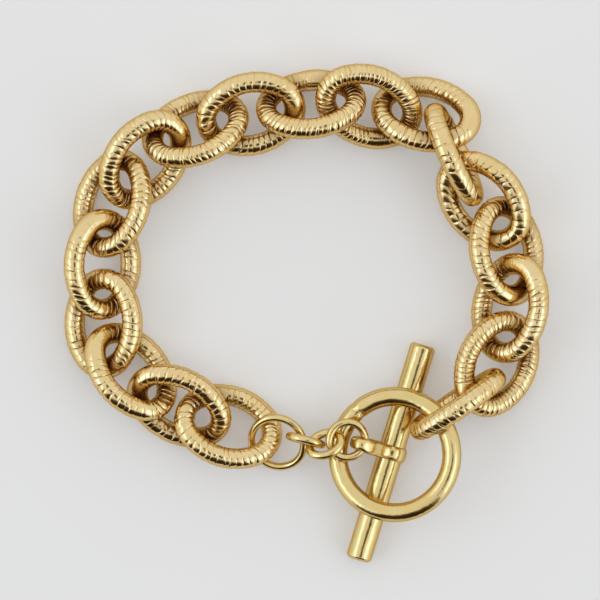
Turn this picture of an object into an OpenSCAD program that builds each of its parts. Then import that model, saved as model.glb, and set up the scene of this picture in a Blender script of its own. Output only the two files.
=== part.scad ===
// Link bracelet with a toggle clasp, closed and lying on a flat surface.
// Eighteen oval links of ribbed wire, a toggle ring, a toggle bar with its soldered eye,
// and the small links and rings that join the eye to the first chain link.
// Millimetres, +Z up. The origin is on the surface, under the middle of the bracelet.

/* [Chain links] */
// Outer length of a chain link
link_l = 16.6; // [15:0.1:20]
// Outer width of a chain link
link_w = 12.9; // [12:0.1:15]
// Thickness of a chain link's wire, over its ribs
link_wire = 3.2; // [2.4:0.1:3.4]
// Bend radius of a chain link's ends, at the middle of the wire
link_end_r = 3.8; // [3:0.1:4.4]
// Share of the free length in a link's hole that the chain slides together at each link
link_slack = 0.37; // [0.2:0.01:0.45]

/* [Toggle ring] */
// Outer diameter of the toggle ring
toggle_ring_d = 20; // [17:0.5:26]
// Thickness of the toggle ring's wire
toggle_ring_wire = 2.8; // [2:0.1:3.4]
// Tilt of the toggle ring over the bar, its chain side up
toggle_ring_tilt = 14; // [6:1:18]

/* [Toggle bar] */
// Length of the toggle bar
bar_l = 33.5; // [26:0.5:40]
// Diameter of the toggle bar
bar_d = 3.8; // [2.6:0.1:4.4]
// Chamfer at the ends of the toggle bar
bar_chamfer = 0.4; // [0.1:0.05:0.8]
// Distance from the bar's axis to the tip of its eye
eye_reach = 7.5; // [6:0.05:10]
// Outer height of the eye's loop
eye_h = 3.7; // [3:0.1:5]
// Angle at which the eye rises from the bar
eye_rise = 38; // [20:1:50]
// Width of the strap that the eye is bent from
strap_w = 2.2; // [1.4:0.1:3]
// Thickness of that strap
strap_t = 1; // [0.6:0.05:1.4]

/* [Small links] */
// Outer diameter of the jump ring at the first chain link
jump_ring_d = 9.1; // [8:0.1:11]
// Thickness of the jump ring's wire
jump_ring_wire = 1.1; // [0.6:0.05:1.2]
// Outer length of the two small oval links
small_link_l = 6.1; // [5.4:0.1:8]
// Outer width of the two small oval links
small_link_w = 5.2; // [4.4:0.1:6]
// Thickness of the small oval links' wire
small_link_wire = 1.25; // [0.8:0.05:1.3]
// Outer diameter of the small round ring at the eye
small_ring_d = 6.5; // [5:0.1:8]
// Thickness of the small round ring's wire
small_ring_wire = 1.15; // [0.6:0.05:1.2]

/* [Hidden] */
link_count = 18;
link_names = [for (i = [1 : link_count]) str("link_", i < 10 ? "0" : "", i)];
$fn = 48;

// Clearance between pieces that touch on the real bracelet
rest_gap = 0.1;

// The length left free in a chain link's hole by the wires of its two neighbours
link_free = link_l - 4 * link_wire;
// The distance from one chain link's middle to the next as the chain lies
pitch = link_l - 2 * link_wire - link_slack * link_free;
// The smallest bend radius of the small oval links, at the middle of the wire
small_end_r = small_link_w / 3;
// The wall of the collar that wraps the eye's strap round the bar
collar_t = 0.45 * strap_t;

// The route of the chain, from the jump ring round to the toggle ring, one row per link:
// its middle in pitches from the bracelet's middle, the heading of its long axis,
// its lean with the outer side up, the rise of its leading end (all in degrees),
// and how high it lies above the surface, in wire thicknesses.
// The last row is the middle of the toggle ring.
X = 0;
Y = 1;
TURN = 2;
LEAN = 3;
NOSE = 4;
LIFT = 5;
route = [
    [-1.31, -1.92,  164,  22,   6, 0],
    [-2.14, -1.57,  151, -30,   4, 0],
    [-2.95, -0.99,  129,  36,  -3, 0],
    [-3.42, -0.18,   87, -24,   6, 0.04],
    [-3.43,  0.82,   88,  34,   1, 0],
    [-3.27,  1.85,   75, -28,  -3, 0],
    [-2.71,  2.58,   54,  30,   9, 0.16],
    [-1.86,  3.11,   24, -34,  -7, 0],
    [-0.93,  3.36,   14,  22,   2, 0.26],
    [ 0.09,  3.52,    5, -39,   5, 0],
    [ 1.07,  3.49,  -21,  23, -10, 0.18],
    [ 2.03,  3.36,  -13, -30,   8, 0],
    [ 2.49,  2.66,  -66, 103,   3, 0],
    [ 3.00,  1.89,  -51,  25,  -3, 0.33],
    [ 3.39,  1.05,  -83, -31,   4, 0.04],
    [ 3.45,  0.08, -102,  35,  -6, 0],
    [ 3.23, -0.86, -116, -20,   5, 0.28],
    [ 2.55, -1.53, -146,  86,  -1, 0],
    [ 1.50, -2.37]];

// What hangs between the clasp and the chain, one row per piece: the bearing of its middle
// from the piece that holds it, the play between the two in small link wires,
// the height of its middle in bar diameters, and its heading, lean and nose as above.
// A chain link's own row gives the rest of its place.
BEARING = 0;
PLAY = 1;
HEIGHT = 2;
SMALL_TURN = 3;
SMALL_LEAN = 4;
SMALL_NOSE = 5;
held = [
    [162, 0.27, 1.55,   0,   9,  -9],  // small ring, in the eye
    [191, 0.49, 1.58,  19, -40,   5],  // small link a
    [170, 0.51, 1.25, -15,  86,   3],  // small link b
    [185, 0.84, 0.85,   0,  22,  14],  // jump ring
    [162.2, 0.69],                     // first chain link, in the jump ring
    [ 39, 0.33]];                      // last chain link, in the toggle ring
// The heading of the toggle bar, and how far it lies off the ring's middle towards its eye
bar_turn = 73.1;
bar_shift = bar_d / 8;

function polar(r, bearing) = r * [cos(bearing), sin(bearing)];

// An oval of four arcs: the radius of its sides, and the normal's angle where they meet the ends
function side_radius(a, b, end_r) =
    ((a - end_r) ^ 2 + b ^ 2 - end_r ^ 2) / (2 * (b - end_r));
function joint_angle(a, b, end_r) = atan2(side_radius(a, b, end_r) - b, a - end_r);

// How far the oval reaches from its middle along the direction [gx, gy], for both positive
function oval_reach(a, b, end_r, gx, gy) =
    let (g = norm([gx, gy]), side_r = side_radius(a, b, end_r))
    atan2(gy, gx) < joint_angle(a, b, end_r)
        ? (a - end_r) * gx + end_r * g
        : (b - side_r) * gy + side_r * g;

// The height of a chain link's middle when its lowest point is lift wires above the surface
function link_height(row) =
    link_wire * (0.5 + row[LIFT]) + oval_reach(link_a, link_b, link_end_r,
        abs(sin(row[NOSE])), abs(cos(row[NOSE]) * sin(row[LEAN])));

// Half the length and half the width of a chain link, at the middle of the wire
link_a = (link_l - link_wire) / 2;
link_b = (link_w - link_wire) / 2;

// Half the inner length of each piece: two such halves are the distance of two taut pieces
link_in = link_l / 2 - link_wire;
small_link_in = small_link_l / 2 - small_link_wire;
small_ring_in = small_ring_d / 2 - small_ring_wire;
jump_ring_in = jump_ring_d / 2 - jump_ring_wire;
toggle_ring_in = toggle_ring_d / 2 - toggle_ring_wire;

// The clasp in plan, one piece after the other, and the places that it gives the two end links
toggle_xy = route_xy(link_count);
bar_xy = toggle_xy + polar(bar_shift, bar_turn + 90);
eye_tip_xy = bar_xy + polar((eye_reach - strap_t) * cos(eye_rise), bar_turn + 90);
small_ring_xy = eye_tip_xy + step(held[0], small_ring_in);
small_link_a_xy = small_ring_xy + step(held[1], small_ring_in + small_link_in);
small_link_b_xy = small_link_a_xy + step(held[2], 2 * small_link_in);
jump_ring_xy = small_link_b_xy + step(held[3], small_link_in + jump_ring_in);
first_link_xy = jump_ring_xy + step(held[4], jump_ring_in + link_in);
last_link_xy = toggle_xy + step(held[5], toggle_ring_in + link_in);
function step(row, taut) = polar(taut - row[PLAY] * small_link_wire, row[BEARING]);

// The chain follows its route, and its links share out evenly what the end links are off it
function route_xy(i) = pitch * [route[i][X], route[i][Y]];
first_shift = first_link_xy - route_xy(0);
last_shift = last_link_xy - route_xy(link_count - 1);
function link_xy(i) =
    let (share = i / (link_count - 1))
    route_xy(i) + (1 - share) * first_shift + share * last_shift;

// The ring lies across the bar, which lies on the surface
toggle_z = bar_d / 2 + (bar_d / 2 + rest_gap + toggle_ring_wire / 2) / cos(toggle_ring_tilt)
    + bar_shift * tan(toggle_ring_tilt);

// A closed oval of round wire, in the XY plane, with its long axis along X.
// Its sides run a little way into its ends, a hair thinner, so that the four arcs make one solid.
module oval_wire(l, w, wire, end_r) {
    a = (l - wire) / 2;
    b = (w - wire) / 2;
    side_r = side_radius(a, b, end_r);
    joint = joint_angle(a, b, end_r);
    lap = (wire / 16) / side_r * 180 / PI;
    for (end = [0, 180])
        rotate(end) translate([a - end_r, 0])
            wire_arc(end_r, wire, -joint, 2 * joint);
    for (side = [0, 180])
        rotate(side) translate([0, b - side_r])
            wire_arc(side_r, wire * 0.99, joint - lap, 180 - 2 * joint + 2 * lap);
}

// A length of round wire, bent to a radius about the Z axis
module wire_arc(r, wire, from, sweep) {
    rotate_extrude(angle = sweep, start = from, $fn = 96) translate([r, 0]) circle(d = wire);
}

module round_wire(d, wire) {
    rotate_extrude($fn = 96) translate([(d - wire) / 2, 0]) circle(d = wire);
}

module place(xy, z, turn, lean, nose) {
    translate([xy[0], xy[1], z]) rotate([lean, -nose, turn]) children();
}

module place_small(xy, row) {
    place(xy, row[HEIGHT] * bar_d, row[SMALL_TURN], row[SMALL_LEAN], row[SMALL_NOSE]) children();
}

module chain_link(i) {
    row = route[i];
    color("gold") place(link_xy(i), link_height(row), row[TURN], row[LEAN], row[NOSE])
        oval_wire(link_l, link_w, link_wire, link_end_r);
}

module toggle_ring() {
    color("gold") place(toggle_xy, toggle_z, bar_turn - 90, 0, toggle_ring_tilt)
        round_wire(toggle_ring_d, toggle_ring_wire);
}

// The bar lies along X with its eye along +Y before it is placed
module toggle_bar() {
    color("gold") translate([bar_xy[0], bar_xy[1], bar_d / 2]) rotate(bar_turn) {
        bar_blank();
        collar();
        rotate([eye_rise, 0, 0]) eye();
    }
}

module bar_blank() {
    rotate([0, 90, 0]) rotate_extrude() polygon([
        [0, -bar_l / 2], [bar_d / 2 - bar_chamfer, -bar_l / 2],
        [bar_d / 2, -bar_l / 2 + bar_chamfer], [bar_d / 2, bar_l / 2 - bar_chamfer],
        [bar_d / 2 - bar_chamfer, bar_l / 2], [0, bar_l / 2]]);
}

// The eye's strap goes on round the bar, and is filed flat where the bar lies on the surface
module collar() {
    intersection() {
        rotate([0, 90, 0]) cylinder(h = strap_w, d = bar_d + 2 * collar_t, center = true);
        translate([-strap_w, -bar_d, rest_gap - bar_d / 2]) cube([2 * strap_w, 2 * bar_d, 2 * bar_d]);
    }
}

// A strap bent to a loop with a round end
module eye() {
    loop_r = eye_h / 2;
    rotate([90, 0, 90]) linear_extrude(strap_w, center = true) difference() {
        union() {
            translate([eye_reach - loop_r, 0]) circle(loop_r);
            translate([0, -loop_r]) square([eye_reach - loop_r, eye_h]);
        }
        translate([eye_reach - loop_r, 0]) circle(loop_r - strap_t);
        translate([0, strap_t - loop_r]) square([eye_reach - loop_r, eye_h - 2 * strap_t]);
    }
}

module small_ring() {
    color("gold") place_small(small_ring_xy, held[0])
        round_wire(small_ring_d, small_ring_wire);
}

module small_link(xy, row) {
    color("gold") place_small(xy, row)
        oval_wire(small_link_l, small_link_w, small_link_wire, small_end_r);
}

module jump_ring() {
    color("gold") place_small(jump_ring_xy, held[3])
        round_wire(jump_ring_d, jump_ring_wire);
}

for (i = [0 : link_count - 1])
    chain_link(i);
toggle_ring();
toggle_bar();
small_ring();
small_link(small_link_a_xy, held[1]);  // small_link_a
small_link(small_link_b_xy, held[2]);  // small_link_b
jump_ring();
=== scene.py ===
# Looks of a gold-tone toggle bracelet: ribbed oval links, a toggle ring and its bar,
# lying on a pale table and seen from straight above
import math
import bmesh
import bpy
import numpy as np
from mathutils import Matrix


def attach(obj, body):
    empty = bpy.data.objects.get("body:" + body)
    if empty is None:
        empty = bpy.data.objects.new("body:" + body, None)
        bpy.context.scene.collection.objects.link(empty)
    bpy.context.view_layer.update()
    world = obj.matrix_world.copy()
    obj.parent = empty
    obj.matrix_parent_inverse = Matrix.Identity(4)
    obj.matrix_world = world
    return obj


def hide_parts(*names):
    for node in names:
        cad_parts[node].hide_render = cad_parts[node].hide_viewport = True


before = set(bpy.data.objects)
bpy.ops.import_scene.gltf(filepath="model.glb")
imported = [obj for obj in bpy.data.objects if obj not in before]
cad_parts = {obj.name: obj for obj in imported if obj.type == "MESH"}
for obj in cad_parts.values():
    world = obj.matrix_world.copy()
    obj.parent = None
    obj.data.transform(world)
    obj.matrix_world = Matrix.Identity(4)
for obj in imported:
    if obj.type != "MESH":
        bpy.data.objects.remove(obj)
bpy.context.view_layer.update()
mm = 0.001  # every size below is in millimetres and becomes metres when a mesh is made
tau = 2 * math.pi
poleReach = 0.001  # mm, points of a mesh's pole that lie closer than this become one


def linearColor(hexText):
    # sRGB hex to the linear colour that shaders take, with alpha 1
    srgb = np.array([int(hexText[i:i + 2], 16) for i in (1, 3, 5)]) / 255
    linear = np.where(srgb <= 0.04045, srgb / 12.92, ((srgb + 0.055) / 1.055) ** 2.4)
    return (*linear.tolist(), 1.0)


def addNode(tree, kind, values=None, links=None, **settings):
    # A shader node with its settings, the values of its sockets and what feeds them.
    # A colour mix has its factor at socket 0, its colours at 6 and 7, and its result at output 2.
    node = tree.nodes.new(kind)
    for name, value in settings.items():
        setattr(node, name, value)
    for socket, value in (values or {}).items():
        node.inputs[socket].default_value = value
    for socket, source in (links or {}).items():
        tree.links.new(source, node.inputs[socket])
    return node


def gridQuads(rows, columns, closedRows=True):
    # Quads of a grid that closes on itself across its columns and, if asked, along its rows
    i = np.arange(rows if closedRows else rows - 1)[:, None]
    j = np.arange(columns)[None, :]
    nextI, nextJ = (i + 1) % rows, (j + 1) % columns
    corners = [i * columns + j, nextI * columns + j, nextI * columns + nextJ, i * columns + nextJ]
    return np.stack(np.broadcast_arrays(*corners), -1).reshape(-1, 4)


def makePiece(name, points, quads, material, node, marks=None, poles=False):
    # Points in millimetres become a smooth mesh at the origin that stands for its CAD node.
    # Where a profile starts and ends on its axis, the points of each pole are merged to one.
    mesh = bpy.data.meshes.new(name)
    mesh.vertices.add(len(points))
    mesh.vertices.foreach_set("co", (points * mm).astype(np.float32).ravel())
    mesh.loops.add(quads.size)
    mesh.loops.foreach_set("vertex_index", quads.astype(np.int32).ravel())
    mesh.polygons.add(len(quads))
    mesh.polygons.foreach_set("loop_start", np.arange(0, quads.size, 4, dtype=np.int32))
    mesh.update(calc_edges=True)
    mesh.polygons.foreach_set("use_smooth", np.ones(len(quads), bool))
    for markName, mark in (marks or {}).items():
        layer = mesh.attributes.new(markName, "FLOAT", "POINT")
        layer.data.foreach_set("value", mark.astype(np.float32).ravel())
    if poles:
        work = bmesh.new()
        work.from_mesh(mesh)
        bmesh.ops.remove_doubles(work, verts=work.verts, dist=poleReach * mm)
        work.to_mesh(mesh)
        work.free()
    mesh.materials.append(material)
    mesh.validate()
    piece = bpy.data.objects.new(name, mesh)
    bpy.context.scene.collection.objects.link(piece)
    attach(piece, "root")
    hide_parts(node)
    return piece


def nodeAxes(node):
    # Middle of a CAD node in millimetres, and its axes of largest, middle and smallest spread:
    # second moments of its triangles by area, A/12 * (the sum of v v' over the corners + 9 g g')
    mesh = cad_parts[node].data
    mesh.calc_loop_triangles()
    corners = np.empty(len(mesh.loop_triangles) * 3, np.int32)
    mesh.loop_triangles.foreach_get("vertices", corners)
    places = np.empty(len(mesh.vertices) * 3, np.float32)
    mesh.vertices.foreach_get("co", places)
    tris = places.reshape(-1, 3).astype(float)[corners.reshape(-1, 3)] / mm
    area = np.linalg.norm(np.cross(tris[:, 1] - tris[:, 0], tris[:, 2] - tris[:, 0]), axis=1) / 2
    middle = (tris.mean(1) * area[:, None]).sum(0) / area.sum()
    tris = tris - middle
    g = tris.mean(1)
    moments = np.einsum("t,tci,tcj->ij", area, tris, tris) + 9 * np.einsum("t,ti,tj->ij", area, g, g)
    axes = np.linalg.eigh(moments)[1][:, ::-1].T
    if axes[2, 2] < 0:
        axes[2] *= -1
    axes[1] = np.cross(axes[2], axes[0])
    return middle, axes


def ovalArcs(sizes):
    # Middle line of an oval wire as arcs, from the middle of one end: radius, sweep and centre of each.
    # The side arcs have the one radius that meets the end arcs without a corner.
    halfLength = (sizes["length"] - sizes["wire"]) / 2
    halfWidth = (sizes["width"] - sizes["wire"]) / 2
    endRadius = sizes["endRadius"]
    reach = halfLength - endRadius
    sideRadius = (reach ** 2 + halfWidth ** 2 - endRadius ** 2) / (2 * (halfWidth - endRadius))
    joint = math.atan2(sideRadius - halfWidth, reach)
    radii = np.array([endRadius, sideRadius, endRadius, sideRadius, endRadius])
    sweeps = np.array([joint, math.pi - 2 * joint, 2 * joint, math.pi - 2 * joint, joint])
    centres = np.array([[reach, 0], [0, halfWidth - sideRadius], [-reach, 0],
                        [0, sideRadius - halfWidth], [reach, 0]])
    return radii, sweeps, centres


def ovalLength(sizes):
    # Length of the middle line: the sum of each arc's radius times its sweep
    radii, sweeps = ovalArcs(sizes)[:2]
    return (sweeps * radii).sum()


def ovalPath(s, sizes):
    # Points and outward normals at arc length s: the normal turns evenly along each arc,
    # and a point is its arc's centre plus the arc's radius along the normal
    radii, sweeps, centres = ovalArcs(sizes)
    startAngle = np.concatenate([[0], np.cumsum(sweeps)])
    startLength = np.concatenate([[0], np.cumsum(sweeps * radii)])
    s = np.mod(s, startLength[-1])
    arc = np.clip(np.searchsorted(startLength, s, "right") - 1, 0, len(radii) - 1)
    angle = startAngle[arc] + (s - startLength[arc]) / radii[arc]
    normal = np.stack([np.cos(angle), np.sin(angle)], -1)
    return centres[arc] + radii[arc][..., None] * normal, normal


def sweptWire(point, normal, around, radius, middle, axes):
    # A wire along a flat path: middle line + radius * (cos v * outward normal + sin v * axis)
    flat = point + (radius * np.cos(around))[..., None] * normal
    local = np.concatenate([flat, (radius * np.sin(around))[..., None]], -1)
    return (local @ axes + middle).reshape(-1, 3)


goldWear = {
    "cloudSize": 2.4,           # mm, patches of thicker and thinner plating
    "cloudDetail": 3.0,
    "roughRange": (0.7, 1.4),   # times the roughness, from patch to patch
    "scratchSize": 0.12,        # mm, hairlines of wear: finer on the real metal, drawn this coarse to show
    "scratchDetail": 4.0,
    "scratchStrength": 0.5,
    "dentDetail": 2.0,
}
chainGold = {
    "pale": "#F0D6A2",          # thin plating over worn high places
    "body": "#E4C179",          # the plating's own pale yellow gold
    "edge": "#E2C07C",          # what the metal keeps of its colour where it is seen at a grazing angle
    "paintedGrooveShade": "#A8681E",          # painted shade in the grooves, a warm brown
    "grooveShade": 0.2,         # how far the grooves go to the painted groove shade
    "paintedCreviceShade": "#74441A",        # painted shade between the links, where they meet
    "creviceShadeStrength": 0.95,        # how far the metal goes to that painted shade where two links meet
    "roughness": 0.14,
    "scratchDepth": 0.006,      # mm
    "dentSize": 0.8,            # mm
    "dentDepth": 0.03,          # mm
}
claspGold = {
    "pale": "#E8D096",
    "body": "#DEBD70",
    "edge": "#DABC78",
    "roughness": 0.17,
    "scratchDepth": 0.004,      # mm
    "dentSize": 1.5,            # mm
    "dentDepth": 0.06,          # mm
}


def goldMaterial(name, look):
    # Gold-plated brass: a coloured mirror, softened by hairlines, with painted shade in the grooves and
    # where links meet when the look has them
    material = bpy.data.materials.new(name)
    material.use_nodes = True
    tree = material.node_tree
    tree.nodes.clear()
    place = addNode(tree, "ShaderNodeTexCoord").outputs["Object"]
    clouds = addNode(tree, "ShaderNodeTexNoise",
                     {"Scale": 1 / (goldWear["cloudSize"] * mm), "Detail": goldWear["cloudDetail"]},
                     {"Vector": place})
    color = addNode(tree, "ShaderNodeMix", {6: linearColor(look["body"]), 7: linearColor(look["pale"])},
                    {0: clouds.outputs["Fac"]}, data_type="RGBA").outputs[2]
    # painted shade: the colour is darkened in the grooves and where the next link comes close
    if "paintedGrooveShade" in look:
        groove = addNode(tree, "ShaderNodeAttribute", attribute_name="groove")
        shade = addNode(tree, "ShaderNodeMath", {1: look["grooveShade"]}, {0: groove.outputs["Fac"]},
                        operation="MULTIPLY", use_clamp=True)
        grooveShaded = addNode(tree, "ShaderNodeMix", {7: linearColor(look["paintedGrooveShade"])},
                       {0: shade.outputs[0], 6: color}, data_type="RGBA")
        # painted shade where two links meet
        paintedCreviceShade = addNode(tree, "ShaderNodeAttribute", attribute_name="paintedCreviceShade")
        creviceShading = addNode(tree, "ShaderNodeMath", {1: look["creviceShadeStrength"]}, {0: paintedCreviceShade.outputs["Fac"]},
                        operation="MULTIPLY", use_clamp=True)
        color = addNode(tree, "ShaderNodeMix", {7: linearColor(look["paintedCreviceShade"])},
                        {0: creviceShading.outputs[0], 6: grooveShaded.outputs[2]}, data_type="RGBA").outputs[2]
    wear = addNode(tree, "ShaderNodeTexNoise",
                   {"Scale": 1 / (goldWear["scratchSize"] * mm), "Detail": goldWear["scratchDetail"]},
                   {"Vector": place})
    smoothest, roughest = [look["roughness"] * x for x in goldWear["roughRange"]]
    rough = addNode(tree, "ShaderNodeMapRange", {"To Min": smoothest, "To Max": roughest},
                    {"Value": clouds.outputs["Fac"]})
    dents = addNode(tree, "ShaderNodeTexNoise",
                    {"Scale": 1 / (look["dentSize"] * mm), "Detail": goldWear["dentDetail"]},
                    {"Vector": place})
    dented = addNode(tree, "ShaderNodeBump", {"Distance": look["dentDepth"] * mm},
                     {"Height": dents.outputs["Fac"]})
    bump = addNode(tree, "ShaderNodeBump",
                   {"Strength": goldWear["scratchStrength"], "Distance": look["scratchDepth"] * mm},
                   {"Height": wear.outputs["Fac"], "Normal": dented.outputs["Normal"]})
    shader = addNode(tree, "ShaderNodeBsdfPrincipled",
                     {"Metallic": 1.0, "Specular Tint": linearColor(look["edge"])},
                     {"Base Color": color, "Roughness": rough.outputs["Result"],
                      "Normal": bump.outputs["Normal"]})
    addNode(tree, "ShaderNodeOutputMaterial", links={"Surface": shader.outputs["BSDF"]})
    return material


# the chain: each rib a small bright mirror, with painted shade in its grooves and where the links meet
ribbedGold = goldMaterial("castRibbedGoldPlate", chainGold)
# the clasp: long soft reflections along smooth wire, a little unsteady from handling
polishedGold = goldMaterial("polishedGoldPlate", claspGold)
print("materials made")


linkSizes = {
    "length": 16.6,
    "width": 12.9,
    "wire": 3.2,
    "endRadius": 3.8,
}
ribs = {
    "grooveDepth": 0.11,    # mm
    "grooveWidth": 0.08,    # mm, half width of the cut
    "grooveUneven": 0.3,    # share by which a groove's depth swings round the wire
    "crown": 0.055,         # mm that a rib falls to its edges
    "crownUneven": 0.3,     # share of that, from rib to rib
    "unevenHeight": 0.03,   # mm from rib to rib
    "lap": 0.03,            # mm that each rib leans over the next
    "unevenTilt": 0.045,    # mm from one edge of a rib to the other
    "flats": 0.012,         # mm, two flat places round each rib
    "spacingJitter": 0.2,   # share of a rib
    "slant": 0.4,           # ribs that a groove wanders round the wire
    "slantDrift": 1.3,      # radians that the slant turns to and fro along the link
    "kinks": 0.12,          # ribs, three kinks in each groove
    "filed": 0.93,          # share of the relief that is gone in the smooth stretch
    "columns": 36,          # points round the wire
    # rows across one rib as shares of it, closer together towards the grooves
    "inRib": [0.0, 0.04, 0.08, 0.12, 0.18, 0.28, 0.42, 0.58, 0.72, 0.82, 0.88, 0.92, 0.96],
}
# painted shade between links: how far from the next link it reaches and how fast it falls off
creviceShadeFalloff = {
    "reach": 2.7,           # mm from the next link
    "fade": 1.4,            # power with which it falls off
}
# Each link was ribbed by hand: where its smooth stretch at the solder joint lies (bearing in degrees
# from the link's middle), how long that is in mm, and how many ribs go round the link
linkColumns = ("smoothBearing", "smoothLength", "ribCount")
linkRows = {
    "link_01": (100, 3, 40),
    "link_02": (160, 7, 36),
    "link_03": (165, 6, 38),
    "link_04": (300, 3, 36),
    "link_05": (125, 6, 36),
    "link_06": (90, 3, 42),
    "link_07": (20, 6, 44),
    "link_08": (180, 3, 50),
    "link_09": (0, 5, 36),
    "link_10": (90, 3, 52),
    "link_11": (270, 3, 52),
    "link_12": (0, 6, 42),
    "link_13": (110, 4, 31),
    "link_14": (250, 5, 31),
    "link_15": (285, 7, 38),
    "link_16": (60, 7, 42),
    "link_17": (200, 3, 50),
    "link_18": (40, 6, 44),
}
firstSeed = 100  # of the random numbers of link_01; each further link has the next one


def linkLine(node, steps=120):
    # Points along the middle line of a chain link, as it lies on the table
    middle, axes = nodeAxes(node)
    s = np.linspace(0, ovalLength(linkSizes), steps, endpoint=False)
    flat = ovalPath(s, linkSizes)[0]
    return np.concatenate([flat, np.zeros((steps, 1))], -1) @ axes + middle


def closeness(points, line):
    # 1 where a point touches the wire round the line, falling to 0 at the reach, as (1 - gap / reach)^fade.
    # The squared distances are |p|^2 + |q|^2 - 2 p.q for every point p and every point q of the line.
    squares = (points ** 2).sum(1)[:, None] + (line ** 2).sum(1)[None, :] - 2 * points @ line.T
    gap = np.sqrt(np.maximum(squares.min(1), 0)) - linkSizes["wire"] / 2
    return np.clip(1 - gap / creviceShadeFalloff["reach"], 0, 1) ** creviceShadeFalloff["fade"]


def ribbedWire(node, look, seed, tries=720):
    # A link's wire whose radius falls, across each rib, by crown * |2f - 1|^3 to its edges and by
    # depth * exp(-(distance / width)^2) in the groove, f being the share of the rib passed.
    # The grooves wander round the wire by slant * sin(v + drift), and fade along the smooth stretch.
    random = np.random.default_rng(seed)
    middle, axes = nodeAxes(node)
    length = ovalLength(linkSizes)
    count = look["ribCount"]
    ribSize = length / count
    passed = (np.arange(count)[:, None] + np.array(ribs["inRib"])).ravel()
    rib = np.floor(passed).astype(int)
    f = (passed - rib)[:, None]
    v = np.linspace(0, tau, ribs["columns"], endpoint=False)[None, :]

    def perRib(low, high, which=rib):
        # One random number for each rib, given to all the rows that belong to it
        return random.uniform(low, high, count)[which][:, None]

    grooveAt = np.arange(count + 1) + ribs["spacingJitter"] * random.uniform(-1, 1, count + 1)
    grooveAt[-1] = grooveAt[0] + count
    turn = tau * passed[:, None] / count
    drift = random.uniform(0, tau) + ribs["slantDrift"] * np.sin(turn + random.uniform(0, tau))
    wander = ribs["slant"] * np.sin(v + drift) + ribs["kinks"] * np.sin(3 * v + 2 * drift + perRib(0, tau))
    s = ribSize * (np.interp(passed, np.arange(count + 1), grooveAt)[:, None] + wander)
    point, normal = ovalPath(s, linkSizes)

    # the smooth stretch has its middle where the link reaches furthest along the bearing
    bearing = math.radians(look["smoothBearing"])
    toSmooth = np.array([math.cos(bearing), math.sin(bearing), 0]) @ axes.T
    along = np.linspace(0, length, tries, endpoint=False)
    smoothAt = along[np.argmax(ovalPath(along, linkSizes)[0] @ toSmooth[:2])]
    away = np.abs(np.mod(s - smoothAt + length / 2, length) - length / 2)
    relief = 1 - ribs["filed"] * np.exp(-(away / (look["smoothLength"] / 2)) ** 4)

    # each groove is deeper on one side of the wire than on the other
    toGroove = np.minimum(f, 1 - f) * ribSize
    nearest = np.where(f[:, 0] < 0.5, rib, rib + 1) % count
    strength = 1 - ribs["grooveUneven"] * (1 - np.sin(v + perRib(0, tau, nearest)))
    groove = strength * np.exp(-(toGroove / ribs["grooveWidth"]) ** 2)

    # a rib's own height, tilt and flats fade out before its edges, so that no step is left between ribs,
    # and the least fall keeps the raised side of a tilted rib inside the plain wire
    toEdge = np.abs(2 * f - 1)
    crown = ribs["crown"] * perRib(1 - ribs["crownUneven"], 1 + ribs["crownUneven"]) * toEdge ** 3
    height = ribs["unevenHeight"] * perRib(0, 1)
    tilt = (ribs["lap"] + ribs["unevenTilt"] * perRib(-1, 1)) * (f - 0.5)
    flats = ribs["flats"] * (1 + np.sin(2 * v + perRib(0, tau)))
    leastFall = (ribs["unevenTilt"] + ribs["lap"]) / 2
    fall = ribs["grooveDepth"] * groove + crown + (height + tilt + leastFall + flats) * (1 - toEdge ** 6)
    radius = linkSizes["wire"] / 2 - relief * fall
    points = sweptWire(point, normal, v, radius, middle, axes)
    return points, gridQuads(len(passed), ribs["columns"]), groove * relief


linkNames = list(linkRows)
for index, node in enumerate(linkNames):
    look = dict(zip(linkColumns, linkRows[node]))
    points, quads, groove = ribbedWire(node, look, firstSeed + index)
    nextTo = linkNames[max(index - 1, 0):index] + linkNames[index + 1:index + 2]
    # painted shade on each link where its neighbours come close
    paintedCreviceShade = np.maximum.reduce([closeness(points, linkLine(other)) for other in nextTo])
    makePiece(f"ribbedLink{index + 1:02d}", points, quads, ribbedGold, node,
              {"groove": groove, "paintedCreviceShade": paintedCreviceShade})
print("chain links made")


# Seams: bearing in degrees from the ring's middle, width and depth in mm
roundRings = {
    "toggle_ring": {"name": "toggleRing", "diameter": 20, "wire": 2.8, "steps": 720, "columns": 72,
                    "seamBearing": 131, "seamWidth": 0.4, "seamDepth": 0.1},
    "small_ring": {"name": "smallRing", "diameter": 6.5, "wire": 1.15, "steps": 160, "columns": 32,
                   "seamBearing": 20, "seamWidth": 0.15, "seamDepth": 0.03},
    "jump_ring": {"name": "jumpRing", "diameter": 9.1, "wire": 1.1, "steps": 240, "columns": 32,
                  "seamBearing": 5, "seamWidth": 0.15, "seamDepth": 0.03},
}
ringWaver = 0.004  # share of the wire's radius by which it wavers
smallLinks = {
    "names": {"small_link_a": "smallLinkA", "small_link_b": "smallLinkB"},
    "length": 6.1,
    "width": 5.2,
    "wire": 1.25,
    "endRadius": 5.2 / 3,   # a third of the width
    "waver": 0.005,         # share of the wire's radius
    "steps": 150,
    "columns": 32,
}


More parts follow.
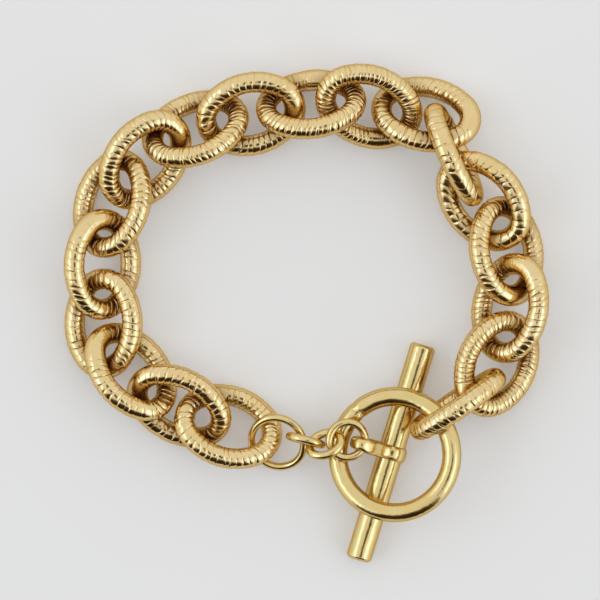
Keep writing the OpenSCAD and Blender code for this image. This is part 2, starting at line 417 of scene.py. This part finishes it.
def roundRing(node, ring):
    # A ring of round wire: R * (cos u, sin u) + r * (cos v outwards + sin v up), a hair uneven.
    # At the solder seam r falls by depth * exp(-(d / width)^2) * (1 + waves round the wire),
    # d being the way along the ring from the seam, which wanders a little round the wire.
    middle, axes = nodeAxes(node)
    u = np.linspace(0, tau, ring["steps"], endpoint=False)[:, None]
    v = np.linspace(0, tau, ring["columns"], endpoint=False)[None, :]
    normal = np.stack([np.cos(u), np.sin(u)], -1) * np.ones((1, ring["columns"], 1))
    lineRadius = (ring["diameter"] - ring["wire"]) / 2
    uneven = ringWaver * (1 + 0.5 * np.sin(5 * u + 2 * v) + 0.5 * np.sin(9 * u - v))
    bearing = math.radians(ring["seamBearing"])
    toSeam = np.array([math.cos(bearing), math.sin(bearing), 0]) @ axes.T
    turned = np.mod(u - math.atan2(toSeam[1], toSeam[0]) + math.pi, tau) - math.pi
    width = ring["seamWidth"]
    d = turned * lineRadius + width * 0.5 * np.sin(3 * v + 1)
    pits = 1 + 0.5 * np.sin(7 * v + 5 * d / width) * np.sin(4 * v - 3 * d / width)
    seam = ring["seamDepth"] * pits * np.exp(-(d / width) ** 2)
    return sweptWire(normal * lineRadius, normal, v, ring["wire"] / 2 * (1 - uneven) - seam, middle, axes)


for node, ring in roundRings.items():
    makePiece(ring["name"], roundRing(node, ring), gridQuads(ring["steps"], ring["columns"]),
              polishedGold, node)


def smallOval(node):
    # A small link of round wire, along the same kind of oval as the chain links
    middle, axes = nodeAxes(node)
    s = np.linspace(0, ovalLength(smallLinks), smallLinks["steps"], endpoint=False)[:, None]
    v = np.linspace(0, tau, smallLinks["columns"], endpoint=False)[None, :]
    point, normal = ovalPath(s * np.ones_like(v), smallLinks)
    radius = smallLinks["wire"] / 2 * (1 - smallLinks["waver"] * (1 - np.sin(3 * v + s)))
    return sweptWire(point, normal, v, radius, middle, axes)


for node, name in smallLinks["names"].items():
    makePiece(name, smallOval(node), gridQuads(smallLinks["steps"], smallLinks["columns"]),
              polishedGold, node)
print("rings and small links made")


toggleBar = {
    "middle": (12.737, -20.704, 1.9),   # mm
    "heading": 73.1,        # degrees
    "length": 33.5,
    "diameter": 3.8,
    "waver": 0.004,         # share of the radius by which it wavers
    "chamfer": 0.4,
    "chamferRound": 0.12,   # mm, worn round at both corners of the chamfer
    "strapWidth": 2.2,
    "strapThickness": 1.0,
    "strapCurve": 0.8,      # power of the strap's rounded section at the eye, 1 being an ellipse
    "collarWall": 0.45,
    "collarCurve": 0.85,    # the same at the collar
    "underside": 0.1,       # mm, the collar is filed flat at this height
    "eyeReach": 7.5,        # from the bar's axis to the tip of the eye
    "eyeHeight": 3.7,
    "eyeRise": 38,          # degrees
    "eyeCurve": 0.5,        # power of the loop's own outline
    "eyeTail": 0.8,         # share of the loop's half height by which it starts behind the bar's axis
    "pinch": 0.22,          # share by which the loop closes near the bar
    "pinchAt": 3.0,         # mm from the bar's axis
    "pinchReach": 1.3,
    "tipTaper": 0.25,       # share by which the strap narrows at the tip
    "tipReach": 0.9,
}


def barFrame(points, rise=0):
    # From the bar's own axes (x along it, y towards the eye, z up) to the table's, after a turn about x
    c, t = math.cos(math.radians(rise)), math.sin(math.radians(rise))
    risen = points @ np.array([[1, 0, 0], [0, c, t], [0, -t, c]])
    c, t = math.cos(math.radians(toggleBar["heading"])), math.sin(math.radians(toggleBar["heading"]))
    return risen @ np.array([[c, t, 0], [-t, c, 0], [0, 0, 1]]) + np.array(toggleBar["middle"])


def roundRod(columns=96, arcSteps=7, faceSteps=6, sideSteps=60):
    # A turned rod: profile (x, r) from one end's middle to the other's, swept round the x axis.
    # Each chamfer corner is a short arc, worked out as a quadratic curve between its two tangent points.
    half, radius = toggleBar["length"] / 2, toggleBar["diameter"] / 2
    cut, soft = toggleBar["chamfer"], toggleBar["chamferRound"]
    clear = soft * 1.5  # from a corner to where its arc starts on the flat face or on the side
    t = np.linspace(0, 1, arcSteps)[:, None]
    corners = np.array([[half, radius - cut], [half - cut, radius]])
    before = np.array([[half, radius - cut - clear], [half - cut + soft, radius - soft]])
    after = np.array([[half - soft, radius - cut + soft], [half - cut - clear, radius]])
    ends = [(1 - t) ** 2 * b + 2 * t * (1 - t) * c + t ** 2 * a for b, c, a in zip(before, corners, after)]
    # the flat face and the side keep a little clear of the arcs
    faceEdge = radius - cut - soft * 2.2
    sideStart = half - cut - soft * 3
    face = np.stack([np.full(faceSteps, half), np.linspace(0, faceEdge, faceSteps)], -1)
    side = np.stack([np.linspace(sideStart, 0, sideSteps), np.full(sideSteps, radius)], -1)
    halfProfile = np.concatenate([face, *ends, side])
    profile = np.concatenate([halfProfile, halfProfile[-2::-1] * [-1, 1]])
    v = np.linspace(0, tau, columns, endpoint=False)[None, :]
    x = profile[:, :1] * np.ones_like(v)
    # polished by hand: over 1 mm from the axis the radius falls here and there, at most by twice the waver
    outer = profile[:, 1:] > 1
    waver = 1 - toggleBar["waver"] * (1 + np.sin(0.9 * x + 2 * v) * np.sin(0.37 * x + 1)) * outer
    r = profile[:, 1:] * waver
    points = np.stack([x, -r * np.sin(v), r * np.cos(v)], -1)
    return barFrame(points.reshape(-1, 3)), gridQuads(len(profile), columns, closedRows=False)


def strapSection(columns, width, thickness, k):
    # Cross-section of a strap, a rounded box: (w cos v |cos v|^(k-1), t sin v |sin v|^(k-1)), w and t
    # being half its width and thickness; v runs down from 2 pi, so that the faces look outwards
    v = np.linspace(tau, 0, columns, endpoint=False)
    return (width / 2 * np.sign(np.cos(v)) * np.abs(np.cos(v)) ** k,
            thickness / 2 * np.sign(np.sin(v)) * np.abs(np.sin(v)) ** k)


def collarBand(steps=120, columns=40):
    # The strap wrapped round the bar: a circle about x carrying the strap's section, filed flat below
    across, out = strapSection(columns, toggleBar["strapWidth"], 2 * toggleBar["collarWall"],
                               toggleBar["collarCurve"])
    u = np.linspace(0, tau, steps, endpoint=False)[:, None]
    radius = toggleBar["diameter"] / 2 + out[None, :]
    points = np.stack([across[None, :] * np.ones_like(u), radius * np.cos(u), radius * np.sin(u)], -1)
    points[..., 2] = np.maximum(points[..., 2], toggleBar["underside"] - toggleBar["middle"][2])
    return barFrame(points.reshape(-1, 3)), gridQuads(steps, columns)


def eyeLoop(steps=200, columns=40):
    # The eye: a loop round a long hole, carrying the strap's section. Its middle line is
    # (c + a cos u |cos u|^(k-1), b sin u |sin u|^(k-1)), one end inside the bar, and a little
    # narrower towards the bar, where the strap was pinched together and soldered.
    across, out = strapSection(columns, toggleBar["strapWidth"], toggleBar["strapThickness"],
                               toggleBar["strapCurve"])
    u = np.linspace(0, tau, steps, endpoint=False)[:, None]
    k = toggleBar["eyeCurve"]
    b = (toggleBar["eyeHeight"] - toggleBar["strapThickness"]) / 2
    tip = toggleBar["eyeReach"] - toggleBar["strapThickness"] / 2
    tail = -toggleBar["eyeTail"] * b
    y = (tip + tail) / 2 + (tip - tail) / 2 * np.sign(np.cos(u)) * np.abs(np.cos(u)) ** k
    pinch = 1 - toggleBar["pinch"] * np.exp(-((y - toggleBar["pinchAt"]) / toggleBar["pinchReach"]) ** 2)
    z = b * np.sign(np.sin(u)) * np.abs(np.sin(u)) ** k * pinch
    middleLine = np.stack([y, z], -1)[:, 0]
    ahead = np.roll(middleLine, -1, 0) - np.roll(middleLine, 1, 0)
    ahead /= np.linalg.norm(ahead, axis=1)[:, None]
    normal = np.stack([ahead[:, 1], -ahead[:, 0]], -1)
    flat = middleLine[:, None] + out[None, :, None] * normal[:, None]
    narrow = 1 - toggleBar["tipTaper"] * np.exp(-((y - tip) / toggleBar["tipReach"]) ** 2)
    points = np.concatenate([(across[None, :] * narrow)[..., None], flat], -1)
    return barFrame(points.reshape(-1, 3), toggleBar["eyeRise"]), gridQuads(steps, columns)


barParts = {
    "toggleBarRod": roundRod(),
    "toggleBarCollar": collarBand(),
    "toggleBarEye": eyeLoop(),
}
for name, (points, quads) in barParts.items():
    makePiece(name, points, quads, polishedGold, "toggle_bar",
              poles=name == "toggleBarRod")
print("toggle bar made")

table = {
    "size": 1600,
    "color": "#D5CEC2",
    "roughness": 0.6,
    "glow": 0.2,            # light that comes up through the board, which keeps its shadows faint
}
tableMesh = bpy.data.meshes.new("paleTable")
half = table["size"] / 2 * mm
tableCorners = [(-half, -half, 0), (half, -half, 0), (half, half, 0), (-half, half, 0)]
tableMesh.from_pydata(tableCorners, [], [(0, 1, 2, 3)])
tableTop = bpy.data.objects.new("paleTable", tableMesh)
bpy.context.scene.collection.objects.link(tableTop)
# a matt board: an even pale grey under the metal, with soft faint shadows
paleBoard = bpy.data.materials.new("matPaleBoard")
paleBoard.use_nodes = True
boardShader = paleBoard.node_tree.nodes["Principled BSDF"]
boardShader.inputs["Base Color"].default_value = linearColor(table["color"])
boardShader.inputs["Roughness"].default_value = table["roughness"]
boardShader.inputs["Emission Color"].default_value = (1, 1, 1, 1)
boardShader.inputs["Emission Strength"].default_value = table["glow"]
tableMesh.materials.append(paleBoard)

studio = {
    "glow": "#F0F6FF",
    "strength": 1.03,
    "floor": 0.05,          # least 1 + z, as the sky is not seen from straight below
}
# Soft ovals on the sky as the metal sees it from below, zenith 0 and horizon 1: middle, half sizes,
# turn in degrees, softness of the edge, colour, and how bright that is beside the glow
ovalColumns = ("middle", "half", "turn", "edge", "color", "gain")
skyOvals = {
    "softboxLeft": ((-0.55, -0.12), (0.22, 0.30), 0, 0.5, "#E8F0FF", 1.42),
    "softboxRight": ((0.52, -0.24), (0.26, 0.24), -30, 0.5, "#E8F0FF", 1.45),
    "lampLeft": ((-0.46, -0.06), (0.09, 0.28), 0, 0.6, "#CFE0FF", 3.0),
    "lampRight": ((0.46, -0.20), (0.09, 0.26), 0, 0.6, "#CFE0FF", 3.0),
    "darkRoom": ((-0.13, -0.92), (0.66, 0.66), 0, 0.12, "#4A3C22", 1.0),
    "darkRoomMiddle": ((-0.10, -0.90), (0.50, 0.48), 0, 0.3, "#2E2618", 1.0),
    "cameraAbove": ((0.06, -0.04), (0.08, 0.13), 0, 0.4, "#3A3220", 1.0),
}
world = bpy.data.worlds.new("softStudio")
bpy.context.scene.world = world
world.use_nodes = True
sky = world.node_tree
sky.nodes.clear()
# a direction (x, y, z) lies on that sky at (x, y) / (1 + z)
direction = addNode(sky, "ShaderNodeTexCoord").outputs["Generated"]
parts = addNode(sky, "ShaderNodeSeparateXYZ", links={0: direction})
lift = addNode(sky, "ShaderNodeMath", {1: 1.0}, {0: parts.outputs["Z"]}, operation="ADD")
lifted = addNode(sky, "ShaderNodeMath", {1: studio["floor"]}, {0: lift.outputs[0]}, operation="MAXIMUM")
skyX, skyY = [addNode(sky, "ShaderNodeMath", links={0: parts.outputs[axis], 1: lifted.outputs[0]},
                      operation="DIVIDE") for axis in ("X", "Y")]
onSky = addNode(sky, "ShaderNodeCombineXYZ", links={0: skyX.outputs[0], 1: skyY.outputs[0]})
skyColor = addNode(sky, "ShaderNodeRGB").outputs[0]
skyColor.default_value = linearColor(studio["glow"])
for row in skyOvals.values():
    oval = dict(zip(ovalColumns, row))
    seen = addNode(sky, "ShaderNodeMapping",
                   {"Location": (*oval["middle"], 0), "Scale": (*oval["half"], 1),
                    "Rotation": (0, 0, math.radians(oval["turn"]))},
                   {"Vector": onSky.outputs[0]}, vector_type="TEXTURE")
    away = addNode(sky, "ShaderNodeVectorMath", links={0: seen.outputs[0]}, operation="LENGTH")
    outside = addNode(sky, "ShaderNodeMapRange",
                      {"From Min": 1 - oval["edge"], "From Max": 1 + oval["edge"]},
                      {"Value": away.outputs["Value"]}, interpolation_type="SMOOTHSTEP")
    tint = [oval["gain"] * x for x in linearColor(oval["color"])[:3]] + [1.0]
    skyColor = addNode(sky, "ShaderNodeMix", {6: tint}, {0: outside.outputs["Result"], 7: skyColor},
                       data_type="RGBA").outputs[2]
background = addNode(sky, "ShaderNodeBackground", {"Strength": studio["strength"]}, {"Color": skyColor})
addNode(sky, "ShaderNodeOutputWorld", links={"Surface": background.outputs[0]})

shot = {
    "place": (-0.825, 2.025, 430),  # mm, straight above the middle of the photo
    "field": 90,                    # mm of table across the photo
    "sensor": 36,
    "clip": (10, 10000),
}
cameraData = bpy.data.cameras.new("camera")
cameraData.sensor_width = shot["sensor"]
cameraData.lens = shot["sensor"] * shot["place"][2] / shot["field"]
cameraData.clip_start, cameraData.clip_end = [x * mm for x in shot["clip"]]
camera = bpy.data.objects.new("camera", cameraData)
camera.location = [x * mm for x in shot["place"]]
bpy.context.scene.collection.objects.link(camera)
bpy.context.scene.camera = camera
bpy.context.scene.view_settings.view_transform = "Standard"
print("table, light and camera made")
